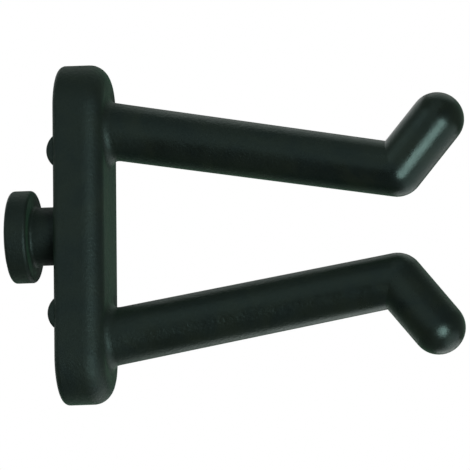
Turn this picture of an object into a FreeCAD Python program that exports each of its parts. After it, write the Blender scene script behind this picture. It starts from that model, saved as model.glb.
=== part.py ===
import FreeCAD, Part
import math
import os

import Sketcher

# Double hook for a perforated panel, moulded in one piece.
# Origin: centre of the plate's back face. +X leaves the panel, +Y runs across
# the plate and +Z runs up it. Lengths are in millimetres and angles in degrees.

NODE = "double_hook"

DIMENSIONS = [
    ("plate_length", 38.0, "plate, end to end along Z"),
    ("plate_width", 10.0, "plate, side to side along Y"),
    ("plate_thickness", 5.5, "plate, back face to front face"),
    ("front_rounding", 2.1, "radius round the edge of the plate's front"),
    ("back_rounding", 0.7, "radius round the edge of the plate's back"),
    ("prong_height", 11.6, "prong axis above the plate's centre, at the front face"),
    ("prong_lean", 9.4, "angle by which each prong leans in towards the other"),
    ("prong_reach", 33.3, "along the prong's axis, front face to elbow"),
    ("prong_sink", 2.0, "how far a prong runs on into the plate"),
    ("prong_root", 6.4, "prong diameter where it starts inside the plate"),
    ("prong_end", 6.05, "prong diameter from the elbow on"),
    ("root_fillet", 1.0, "radius where a prong leaves the plate"),
    ("tip_angle", 50.0, "angle between the tip's axis and the way out from the panel"),
    ("tip_reach", 7.2, "along the tip's axis, elbow to the centre of its round end"),
    ("neck_width", 6.5, "stud neck diameter"),
    ("neck_length", 3.1, "stud neck, back face to head"),
    ("neck_sink", 1.0, "how far the stud neck runs on into the plate"),
    ("neck_fillet", 0.4, "radius at both ends of the stud neck"),
    ("head_width", 10.3, "stud head diameter"),
    ("head_thickness", 2.5, "stud head, inner face to outer face"),
    ("head_rounding", 0.4, "radius round both edges of the stud head"),
    ("rib_height", 9.1, "crest of a cross rib above the plate's centre"),
    ("rib_width", 3.3, "cross rib along Z, where it leaves the back"),
    ("rib_rise", 0.75, "cross rib, how far it stands off the back"),
    ("rib_inset", 0.4, "how far a cross rib stops short of each side of the plate"),
    ("rib_rounding", 0.3, "radius round the ends of a cross rib"),
]

# How far a point may lie from a surface and still count as on it
TOUCH = 1e-3

# What a sketch calls the places that a constraint names
START, END, CENTRE = range(1, 4)
H_AXIS, V_AXIS = range(-1, -3, -1)
ORIGIN = (H_AXIS, START)


def add_sheet(doc):
    sheet = doc.addObject("Spreadsheet::Sheet", "Sizes")
    for row, (name, value, meaning) in enumerate(DIMENSIONS, start=1):
        sheet.set(f"A{row}", meaning)
        sheet.set(f"B{row}", str(value))
        sheet.setAlias(f"B{row}", name)
    doc.recompute()
    return sheet


def point(x, y):
    return FreeCAD.Vector(x, y, 0)


def origin_feature(body, role):
    return next(item for item in body.Origin.OriginFeatures if item.Role == role)


def add_sketch(body, name, plane, offset=None):
    """Attach a sketch to an origin plane; offset binds its place on that plane."""
    sketch = body.newObject("Sketcher::SketchObject", name)
    sketch.AttachmentSupport = [(origin_feature(body, plane), "")]
    sketch.MapMode = "FlatFace"
    for path, expression in (offset or {}).items():
        sketch.setExpression(f"AttachmentOffset.{path}", expression)
    return sketch


def hold(sketch, kind, *where):
    sketch.addConstraint(Sketcher.Constraint(kind, *where))


def size(sketch, name, expression, kind, *where):
    """Add a sized constraint and tie its value to the sheet."""
    value = sketch.evalExpression(expression)
    index = sketch.addConstraint(Sketcher.Constraint(kind, *where, value))
    sketch.renameConstraint(index, name)
    sketch.setExpression(f"Constraints.{name}", expression)


def add_line(sketch, start, end):
    return sketch.addGeometry(Part.LineSegment(point(*start), point(*end)), False)


def add_arc(sketch, centre, radius, *angles):
    """Add a circle, or an arc of it where two angles are given."""
    circle = Part.Circle(point(*centre), FreeCAD.Vector(0, 0, 1), radius)
    return sketch.addGeometry(Part.ArcOfCircle(circle, *angles) if angles else circle, False)


def add_feature(body, kind, name, **expressions):
    feature = body.newObject(f"PartDesign::{kind}", name)
    for path, expression in expressions.items():
        feature.setExpression(path, expression)
    return feature


def add_revolution(body, name, sketch):
    """Turn a half outline once round its sketch's horizontal axis."""
    feature = add_feature(body, "Revolution", name)
    feature.Profile = sketch
    feature.ReferenceAxis = (sketch, ["H_Axis"])
    feature.Angle = 360
    return feature


def add_fillet(body, name, radius, on_edge):
    """Round every edge of the body's last feature whose points all pass on_edge."""
    base = body.Tip
    names = []
    for number, edge in enumerate(base.Shape.Edges, start=1):
        if edge.Degenerated:
            continue
        if all(on_edge(place) for place in edge.discretize(QuasiDeflection=TOUCH)):
            names.append(f"Edge{number}")
    fillet = add_feature(body, "Fillet", name, Radius=f"Sizes.{radius}")
    fillet.Base = (base, names)
    body.Document.recompute()


def add_plate(body, sizes):
    """Round-ended plate, well rounded in front and lightly behind."""
    sketch = add_sketch(body, "PlateOutline", "YZ_Plane")
    radius = sizes.plate_width / 2
    middle = sizes.plate_length / 2 - radius
    top = add_arc(sketch, (0, middle), radius, 0, math.pi)
    left = add_line(sketch, (-radius, middle), (-radius, -middle))
    bottom = add_arc(sketch, (0, -middle), radius, math.pi, 2 * math.pi)
    right = add_line(sketch, (radius, -middle), (radius, middle))
    for piece, follower in ((top, left), (left, bottom), (bottom, right), (right, top)):
        hold(sketch, "Tangent", piece, END, follower, START)
    hold(sketch, "Equal", top, bottom)
    hold(sketch, "Symmetric", top, CENTRE, bottom, CENTRE, *ORIGIN)
    hold(sketch, "PointOnObject", top, CENTRE, V_AXIS)
    size(sketch, "end_radius", "Sizes.plate_width / 2", "Radius", top)
    centres = "Sizes.plate_length - Sizes.plate_width"
    size(sketch, "centres", centres, "DistanceY", bottom, CENTRE, top, CENTRE)

    plate = add_feature(body, "Pad", "Plate", Length="Sizes.plate_thickness")
    plate.Profile = sketch
    body.Document.recompute()
    front = sizes.plate_thickness
    add_fillet(body, "FrontRounding", "front_rounding", lambda place: abs(place.x - front) < TOUCH)
    add_fillet(body, "BackRounding", "back_rounding", lambda place: abs(place.x) < TOUCH)


def add_bar(body, name, offset, start_width, reach, behind=None):
    """Round bar with a half-ball end, along the offset sketch's horizontal axis.

    The half ball is centred at reach from the sketch's origin. The bar starts at
    the origin, or that far behind it.
    """
    sketch = add_sketch(body, f"{name}Outline", "XZ_Plane", offset)
    near = -sketch.evalExpression(behind) if behind else 0
    far = sketch.evalExpression(reach)
    near_radius = sketch.evalExpression(start_width) / 2
    far_radius = sketch.evalExpression("Sizes.prong_end") / 2
    base = add_line(sketch, (near, 0), (near, near_radius))
    side = add_line(sketch, (near, near_radius), (far, far_radius))
    ball = add_arc(sketch, (far, 0), far_radius, 0, math.pi / 2)
    axis = add_line(sketch, (far + far_radius, 0), (near, 0))
    hold(sketch, "Coincident", base, END, side, START)
    hold(sketch, "Coincident", side, END, ball, END)
    hold(sketch, "Coincident", ball, START, axis, START)
    hold(sketch, "Coincident", axis, END, base, START)
    hold(sketch, "Vertical", base)
    hold(sketch, "PointOnObject", axis, START, H_AXIS)
    hold(sketch, "PointOnObject", ball, CENTRE, H_AXIS)
    hold(sketch, "Vertical", ball, CENTRE, ball, END)
    size(sketch, "start_radius", f"{start_width} / 2", "DistanceY", base, START, base, END)
    size(sketch, "end_radius", "Sizes.prong_end / 2", "Radius", ball)
    size(sketch, "reach", reach, "DistanceX", *ORIGIN, ball, CENTRE)
    if behind:
        hold(sketch, "PointOnObject", base, START, H_AXIS)
        size(sketch, "behind", behind, "DistanceX", base, START, *ORIGIN)
    else:
        hold(sketch, "Coincident", base, START, *ORIGIN)
    return add_revolution(body, name, sketch)


def add_prong(body):
    """Upper prong, leaning in, and its tip, turned up at the elbow."""
    at_front = {
        "Base.x": "Sizes.plate_thickness",
        "Base.y": "Sizes.prong_height",
        "Rotation.Angle": "-Sizes.prong_lean",
    }
    at_elbow = {
        "Base.x": "Sizes.plate_thickness + Sizes.prong_reach * cos(Sizes.prong_lean)",
        "Base.y": "Sizes.prong_height - Sizes.prong_reach * sin(Sizes.prong_lean)",
        "Rotation.Angle": "Sizes.tip_angle",
    }
    root, reach, sink = "Sizes.prong_root", "Sizes.prong_reach", "Sizes.prong_sink"
    shank = add_bar(body, "Shank", at_front, root, reach, behind=sink)
    tip = add_bar(body, "Tip", at_elbow, "Sizes.prong_end", "Sizes.tip_reach")
    return [shank, tip]


def add_rib(body, sizes):
    """Crest of a round bar that lies across the back, most of it inside the plate."""
    bar_radius = "(Sizes.rib_width ^ 2 / 4 + Sizes.rib_rise ^ 2) / (2 * Sizes.rib_rise)"
    on_bar_axis = {
        "Base.y": "Sizes.rib_height",
        "Base.z": f"{bar_radius} - Sizes.rib_rise",
    }
    sketch = add_sketch(body, "RibOutline", "YZ_Plane", on_bar_axis)
    radius = sketch.evalExpression(bar_radius)
    end = sizes.plate_width / 2 - sizes.rib_inset
    corner = sizes.rib_rounding
    axis = add_line(sketch, (end, 0), (-end, 0))
    left = add_line(sketch, (-end, 0), (-end, radius - corner))
    left_corner = add_arc(sketch, (corner - end, radius - corner), corner, math.pi / 2, math.pi)
    side = add_line(sketch, (corner - end, radius), (end - corner, radius))
    right_corner = add_arc(sketch, (end - corner, radius - corner), corner, 0, math.pi / 2)
    right = add_line(sketch, (end, radius - corner), (end, 0))
    hold(sketch, "Coincident", right, END, axis, START)
    hold(sketch, "Coincident", axis, END, left, START)
    hold(sketch, "Tangent", left, END, left_corner, END)
    hold(sketch, "Tangent", left_corner, START, side, START)
    hold(sketch, "Tangent", side, END, right_corner, END)
    hold(sketch, "Tangent", right_corner, START, right, START)
    hold(sketch, "Symmetric", axis, START, axis, END, *ORIGIN)
    for line in (axis, side):
        hold(sketch, "Horizontal", line)
    hold(sketch, "Vertical", right)
    hold(sketch, "Equal", left_corner, right_corner)
    size(sketch, "corner", "Sizes.rib_rounding", "Radius", right_corner)
    length = "Sizes.plate_width - 2 * Sizes.rib_inset"
    size(sketch, "length", length, "DistanceX", axis, END, axis, START)
    size(sketch, "bar_radius", bar_radius, "DistanceY", axis, END, side, START)
    return add_revolution(body, "Rib", sketch)


def add_stud(body, sizes):
    """Mushroom stud on the back: a neck, and a head wider than the neck."""
    sketch = add_sketch(body, "StudOutline", "XZ_Plane")
    inside = sizes.neck_sink
    under_head = -sizes.neck_length
    outer = under_head - sizes.head_thickness
    neck = sizes.neck_width / 2
    head = sizes.head_width / 2
    corners = [(inside, 0), (inside, neck), (under_head, neck)]
    corners += [(under_head, head), (outer, head), (outer, 0)]
    lines = [add_line(sketch, *ends) for ends in zip(corners, corners[1:] + corners[:1])]
    sunk, side, shoulder, rim, face, axis = lines
    for line, follower in zip(lines, lines[1:] + lines[:1]):
        hold(sketch, "Coincident", line, END, follower, START)
    for line in (sunk, shoulder, face):
        hold(sketch, "Vertical", line)
    for line in (side, rim):
        hold(sketch, "Horizontal", line)
    hold(sketch, "PointOnObject", axis, START, H_AXIS)
    hold(sketch, "PointOnObject", axis, END, H_AXIS)
    size(sketch, "neck_radius", "Sizes.neck_width / 2", "DistanceY", sunk, START, sunk, END)
    size(sketch, "head_radius", "Sizes.head_width / 2", "DistanceY", face, END, face, START)
    size(sketch, "neck_sink", "Sizes.neck_sink", "DistanceX", *ORIGIN, sunk, START)
    size(sketch, "neck_length", "Sizes.neck_length", "DistanceX", shoulder, START, *ORIGIN)
    size(sketch, "head_thickness", "Sizes.head_thickness", "DistanceX", rim, END, rim, START)
    add_revolution(body, "Stud", sketch)


def round_edges(body, sizes):
    """Round the corners where prongs and neck meet the plate, and the stud head."""
    front = sizes.plate_thickness
    lean = math.radians(sizes.prong_lean)
    taper = (sizes.prong_root - sizes.prong_end) / 2 / (sizes.prong_reach + sizes.prong_sink)

    def on_prong_root(place):
        beyond = place.x - front
        above = abs(place.z) - sizes.prong_height
        along = beyond * math.cos(lean) - above * math.sin(lean)
        off_axis = math.hypot(place.y, beyond * math.sin(lean) + above * math.cos(lean))
        radius = sizes.prong_root / 2 - taper * (along + sizes.prong_sink)
        return beyond < TOUCH and abs(off_axis - radius) < TOUCH

    def on_ring(place, width, *depths):
        at_depth = any(abs(place.x + depth) < TOUCH for depth in depths)
        return at_depth and abs(math.hypot(place.y, place.z) - width / 2) < TOUCH

    def on_neck_end(place):
        return on_ring(place, sizes.neck_width, 0, sizes.neck_length)

    def on_head_edge(place):
        outer = sizes.neck_length + sizes.head_thickness
        return on_ring(place, sizes.head_width, sizes.neck_length, outer)

    add_fillet(body, "RootFillet", "root_fillet", on_prong_root)
    add_fillet(body, "NeckFillet", "neck_fillet", on_neck_end)
    add_fillet(body, "HeadRounding", "head_rounding", on_head_edge)


def check(doc, body):
    failed = [item.Name for item in doc.Objects if {"Invalid", "Error"} & set(item.State)]
    if failed:
        raise RuntimeError(f"failed to build: {failed}")
    if body.Shape.isNull() or not body.Shape.isValid() or len(body.Shape.Solids) != 1:
        raise RuntimeError(f"{body.Label} is not one valid solid")


def main():
    doc = FreeCAD.newDocument("DoubleHook")
    sizes = add_sheet(doc)
    body = doc.addObject("PartDesign::Body", "DoubleHook")
    body.Label = NODE
    add_plate(body, sizes)
    upper = add_prong(body) + [add_rib(body, sizes)]
    lower = add_feature(body, "Mirrored", "LowerProngAndRib")
    lower.Originals = upper
    lower.MirrorPlane = (origin_feature(body, "XY_Plane"), [""])
    body.Tip = lower
    add_stud(body, sizes)
    doc.recompute()
    round_edges(body, sizes)
    doc.recompute()
    check(doc, body)

    os.makedirs("parts", exist_ok=True)
    body.Shape.exportStep(os.path.join("parts", f"{body.Label}.step"))
    print(f"{body.Label}: {body.Shape.Volume:.1f} cubic mm")


main()
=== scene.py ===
import math

import bpy
from mathutils import Matrix, Vector

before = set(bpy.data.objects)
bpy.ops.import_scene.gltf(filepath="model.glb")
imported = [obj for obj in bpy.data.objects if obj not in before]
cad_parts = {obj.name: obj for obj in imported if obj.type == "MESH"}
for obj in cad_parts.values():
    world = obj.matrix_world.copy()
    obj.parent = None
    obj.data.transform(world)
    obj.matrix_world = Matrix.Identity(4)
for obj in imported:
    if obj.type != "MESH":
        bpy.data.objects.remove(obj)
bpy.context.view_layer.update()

scene = bpy.context.scene
mm = 0.001
print("frame loaded:", ", ".join(sorted(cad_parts)))


# sRGB hex, as in a paint program, to the linear colour that nodes want
def hexColour(code):
    parts = [int(code[i:i + 2], 16) / 255 for i in (1, 3, 5)]
    return [p / 12.92 if p <= 0.04045 else ((p + 0.055) / 1.055) ** 2.4 for p in parts] + [1]


# one node with its settings; an input takes a value, or another node's output to link
def addNode(tree, kind, settings={}, **attributes):
    node = tree.nodes.new("ShaderNode" + kind)
    for name, value in attributes.items():
        setattr(node, name, value)
    for name, value in settings.items():
        if isinstance(value, bpy.types.NodeSocket):
            tree.links.new(value, node.inputs[name])
        else:
            node.inputs[name].default_value = value
    return node


def newTree(owner):
    owner.use_nodes = True
    owner.node_tree.nodes.clear()
    return owner.node_tree


# camera: a side view, a little from in front and from below, without perspective
photoView = {
    "azimuth": 13.07,         # degrees
    "elevation": -6.34,
    "roll": 0.47,
    "across": 52.36 * mm,     # width of the picture
    "rightOfOrigin": 19.25 * mm,
    "aboveOrigin": 0.12 * mm,
    "distance": 250 * mm,     # only has to clear the hook
    "clipStart": 1 * mm,
}


def viewAxes(view):
    turn, lift, roll = (math.radians(view[key]) for key in ("azimuth", "elevation", "roll"))
    level = Vector((math.cos(turn), math.sin(turn), 0))
    away = Vector((math.sin(turn), -math.cos(turn), 0))
    back = away * math.cos(lift) + Vector((0, 0, math.sin(lift)))
    upright = back.cross(level)
    right = level * math.cos(roll) - upright * math.sin(roll)
    return right, back.cross(right), back


right, up, back = viewAxes(photoView)
bpy.ops.object.camera_add()
camera = bpy.context.object
camera.name = "photoCamera"
camera.data.type = "ORTHO"
camera.data.ortho_scale = photoView["across"]
camera.data.clip_start = photoView["clipStart"]
place = right * photoView["rightOfOrigin"] + up * photoView["aboveOrigin"]
place += back * photoView["distance"]
turned = Matrix((right, up, back)).transposed().to_4x4()
camera.matrix_world = Matrix.Translation(place) @ turned
scene.camera = camera
print("camera set")

# room: the white is for the camera; the plastic mirrors only a part of it, because in the
# photograph its edges stay dark in front of white
room = {
    "white": "#ffffff",
    "level": 0.13,            # as it lights the hook
    "seenLevel": 1.0,         # as the camera sees it
    "mirrored": 0.05,         # share of the seen white in what the plastic mirrors
}


# how much of the white a ray is shown: all to the camera and through clear things, and a
# little in reflections
def whiteShare(tree):
    ray = addNode(tree, "LightPath")
    clear = addNode(tree, "Math", {
        0: ray.outputs["Is Camera Ray"],
        1: ray.outputs["Is Transmission Ray"],
    }, operation="MAXIMUM")
    shine = addNode(tree, "Math", {
        0: ray.outputs["Is Glossy Ray"],
        1: room["mirrored"],
    }, operation="MULTIPLY")
    share = addNode(tree, "Math", {0: clear.outputs[0], 1: shine.outputs[0]}, operation="MAXIMUM")
    return share.outputs[0]


scene.world = bpy.data.worlds.new("whiteRoom")
tree = newTree(scene.world)
white = hexColour(room["white"])
lit = addNode(tree, "Background", {"Color": white, "Strength": room["level"]})
seen = addNode(tree, "Background", {"Color": white, "Strength": room["seenLevel"]})
both = addNode(tree, "MixShader", {
    "Fac": whiteShare(tree),
    1: lit.outputs["Background"],
    2: seen.outputs["Background"],
})
addNode(tree, "OutputWorld", {"Surface": both.outputs["Shader"]})
scene.view_settings.view_transform = "Standard"

# floor: matt card well below the hook, because the hook hangs and is seen from below
# pale to the camera, shadow and all, and grey to the hook, whose undersides stay dark in
# the photograph
floorCard = {
    "height": -260 * mm,
    "width": 6,               # metres
    "grey": "#5a5a58",
    "pale": "#a0a09e",        # what of the lamps' light, and of the shadow, the camera sees on it
    "glow": "#f2f2f0",        # and the paleness that it has without them
    "glowLevel": 0.85,
}

bpy.ops.object.select_all(action="DESELECT")
bpy.ops.mesh.primitive_plane_add(size=floorCard["width"], location=(0, 0, floorCard["height"]))
floor = bpy.context.object
floor.name = "floor"
card = bpy.data.materials.new("mattCard")
tree = newTree(card)
grey = addNode(tree, "BsdfDiffuse", {"Color": hexColour(floorCard["grey"])})
pale = addNode(tree, "BsdfDiffuse", {"Color": hexColour(floorCard["pale"])})
glow = addNode(tree, "Emission", {
    "Color": hexColour(floorCard["glow"]),
    "Strength": floorCard["glowLevel"],
})
bright = addNode(tree, "AddShader", {0: pale.outputs["BSDF"], 1: glow.outputs["Emission"]})
both = addNode(tree, "MixShader", {
    "Fac": whiteShare(tree),
    1: grey.outputs["BSDF"],
    2: bright.outputs["Shader"],
})
addNode(tree, "OutputMaterial", {"Surface": both.outputs["Shader"]})
floor.data.materials.append(card)
print("room and floor laid")

# light: one softbox low on the right of the camera, which draws the streaks on the tips,
# and weak fills; those behind light the front of the plate, its upper part most, and the
# low edges of the prongs
# the directions are right, up and back, as the camera sees them; power is in watts
softboxes = {
    "key": {"from": (0.37, -0.29, 0.88), "power": 0.95,
            "distance": 300 * mm, "size": 185 * mm},
    "top": {"from": (0.0, 0.92, 0.4), "power": 0.20,
            "distance": 600 * mm, "size": 500 * mm},
    "side": {"from": (-0.85, 0.3, 0.45), "power": 0.45,
             "distance": 600 * mm, "size": 500 * mm},
    "front": {"from": (-0.42, 0.42, 0.8), "power": 0.48,
              "distance": 600 * mm, "size": 700 * mm},
    "right": {"from": (0.74, -0.65, 0.08), "power": 0.16,
              "distance": 240 * mm, "size": 240 * mm},
    "rearLeft": {"from": (-0.7, 0.15, -0.7), "power": 1.5,
                 "distance": 600 * mm, "size": 800 * mm},
    "rearTop": {"from": (0.15, 0.8, -0.6), "power": 0.47,
                "distance": 600 * mm, "size": 600 * mm},
    "rearLow": {"from": (0.42, -0.72, -0.56), "power": 0.155,
                "distance": 240 * mm, "size": 220 * mm},
}
hookMiddle = Vector((20 * mm, 0, 0))    # what they all face


def addSoftbox(name, box):
    away = (right * box["from"][0] + up * box["from"][1] + back * box["from"][2]).normalized()
    bpy.ops.object.light_add(type="AREA", location=hookMiddle + away * box["distance"])
    lamp = bpy.context.object
    lamp.name = name + "Softbox"
    lamp.rotation_euler = away.to_track_quat("Z", "Y").to_euler()
    lamp.data.shape = "DISK"
    lamp.data.size = box["size"]
    lamp.data.energy = box["power"]
    lamp.visible_camera = False


for name, box in softboxes.items():
    addSoftbox(name, box)

print("lights set:", len(softboxes), "softboxes")

# hook: black polypropylene, injection moulded in a spark-eroded tool
# satin, never quite even: fine grain, faint flow marks, and a hair-thin seam where the
# mould halves met
plasticLook = {
    "black": "#0b0f0e",
    "flowMark": "#131711",
    "blackTo": 0.35,          # where in the marks' noise the black ends
    "flowMarkFrom": 0.7,      # and where the flow marks are full
    "markSize": 5 * mm,
    "markDetail": 3,
    "markTwist": 1.2,
    "shine": 0.32,            # specular level
    "shineTint": "#ccfcf4",
    "ior": 1.49,
    "bloom": 0.09,            # a trace of dust, which greens what is seen at a low angle
    "bloomSpread": 0.45,
    "bloomTint": "#84e0a8",
    "smooth": 0.28,           # roughness, least and most
    "dull": 0.38,
    "smoothTo": 0.3,          # where in the patches' noise it is least, and most
    "dullFrom": 0.7,
    "patchesPerMark": 3,
    "patchDetail": 5,
    "plateDull": 0.24,        # added on the plate, which isn't rubbed at all
    "plateTo": 5 * mm,
    "prongsFrom": 12 * mm,
    "tipDull": -0.02,         # added on the tips, which are rubbed smooth
    "tipGrain": 0.4,          # and have less than half their grain left
    "tipsFrom": 24 * mm,
    "tipsTo": 36 * mm,
    "grainSize": 0.4 * mm,    # about 0.05 mm on the real one, drawn coarser to show
    "grainDepth": 0.06 * mm,
    "grainDetail": 4,
    "grainRoughness": 0.6,
    "waveSize": 8 * mm,       # a moulded face is never quite flat
    "waveDepth": 0.03 * mm,
    "waveDetail": 1,
    "seamWidth": 0.16 * mm,
    "seamHeight": 0.03 * mm,
}


def mouldedPlastic(look):
    material = bpy.data.materials.new("blackPolypropyleneMoulded")
    tree = newTree(material)
    place = addNode(tree, "TexCoord").outputs["Object"]
    along = addNode(tree, "SeparateXYZ", {"Vector": place})

    # colour: black, a little warmer in the flow marks
    marks = addNode(tree, "TexNoise", {
        "Vector": place,
        "Scale": 1 / look["markSize"],
        "Detail": look["markDetail"],
        "Distortion": look["markTwist"],
    })
    colour = addNode(tree, "ValToRGB", {"Fac": marks.outputs["Fac"]})
    plain, warm = colour.color_ramp.elements
    plain.position = look["blackTo"]
    plain.color = hexColour(look["black"])
    warm.position = look["flowMarkFrom"]
    warm.color = hexColour(look["flowMark"])

    # roughness: patchy all over, dull on the plate and smoother on the tips
    patches = addNode(tree, "TexNoise", {
        "Vector": place,
        "Scale": look["patchesPerMark"] / look["markSize"],
        "Detail": look["patchDetail"],
    })
    satin = addNode(tree, "MapRange", {
        "Value": patches.outputs["Fac"],
        "From Min": look["smoothTo"],
        "From Max": look["dullFrom"],
        "To Min": look["smooth"],
        "To Max": look["dull"],
    })
    plate = addNode(tree, "MapRange", {
        "Value": along.outputs["X"],
        "From Min": look["plateTo"],
        "From Max": look["prongsFrom"],
        "To Min": look["plateDull"],
        "To Max": 0,
    })
    tips = {
        "Value": along.outputs["X"],
        "From Min": look["tipsFrom"],
        "From Max": look["tipsTo"],
    }
    rubbed = addNode(tree, "MapRange", {**tips, "To Min": 0, "To Max": look["tipDull"]})
    rough = addNode(tree, "Math", {
        0: satin.outputs["Result"],
        1: plate.outputs["Result"],
    }, operation="ADD")
    rough = addNode(tree, "Math", {
        0: rough.outputs[0],
        1: rubbed.outputs["Result"],
    }, operation="ADD")

    # relief: waves, then the seam, which runs all round in the middle plane, Y = 0, then grain
    wave = addNode(tree, "TexNoise", {
        "Vector": place,
        "Scale": 1 / look["waveSize"],
        "Detail": look["waveDetail"],
    })
    offMiddle = addNode(tree, "Math", {0: along.outputs["Y"]}, operation="ABSOLUTE")
    seam = addNode(tree, "MapRange", {
        "Value": offMiddle.outputs[0],
        "From Min": 0,
        "From Max": look["seamWidth"] / 2,
        "To Min": 1,
        "To Max": 0,
    }, interpolation_type="SMOOTHSTEP")
    grain = addNode(tree, "TexNoise", {
        "Vector": place,
        "Scale": 1 / look["grainSize"],
        "Detail": look["grainDetail"],
        "Roughness": look["grainRoughness"],
    })
    grainLeft = addNode(tree, "MapRange", {**tips, "To Min": 1, "To Max": look["tipGrain"]})
    relief = addNode(tree, "Bump", {
        "Height": wave.outputs["Fac"],
        "Distance": look["waveDepth"],
    })
    relief = addNode(tree, "Bump", {
        "Height": seam.outputs["Result"],
        "Distance": look["seamHeight"],
        "Normal": relief.outputs["Normal"],
    })
    relief = addNode(tree, "Bump", {
        "Height": grain.outputs["Fac"],
        "Distance": look["grainDepth"],
        "Strength": grainLeft.outputs["Result"],
        "Normal": relief.outputs["Normal"],
    })

    skin = addNode(tree, "BsdfPrincipled", {
        "Base Color": colour.outputs["Color"],
        "Roughness": rough.outputs[0],
        "IOR": look["ior"],
        "Specular IOR Level": look["shine"],
        "Specular Tint": hexColour(look["shineTint"]),
        "Sheen Weight": look["bloom"],
        "Sheen Roughness": look["bloomSpread"],
        "Sheen Tint": hexColour(look["bloomTint"]),
        "Normal": relief.outputs["Normal"],
    })
    addNode(tree, "OutputMaterial", {"Surface": skin.outputs["BSDF"]})
    return material


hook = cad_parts["double_hook"]
plastic = mouldedPlastic(plasticLook)
for slot in hook.material_slots:
    slot.material = plastic
print("hook dressed in", plastic.name)
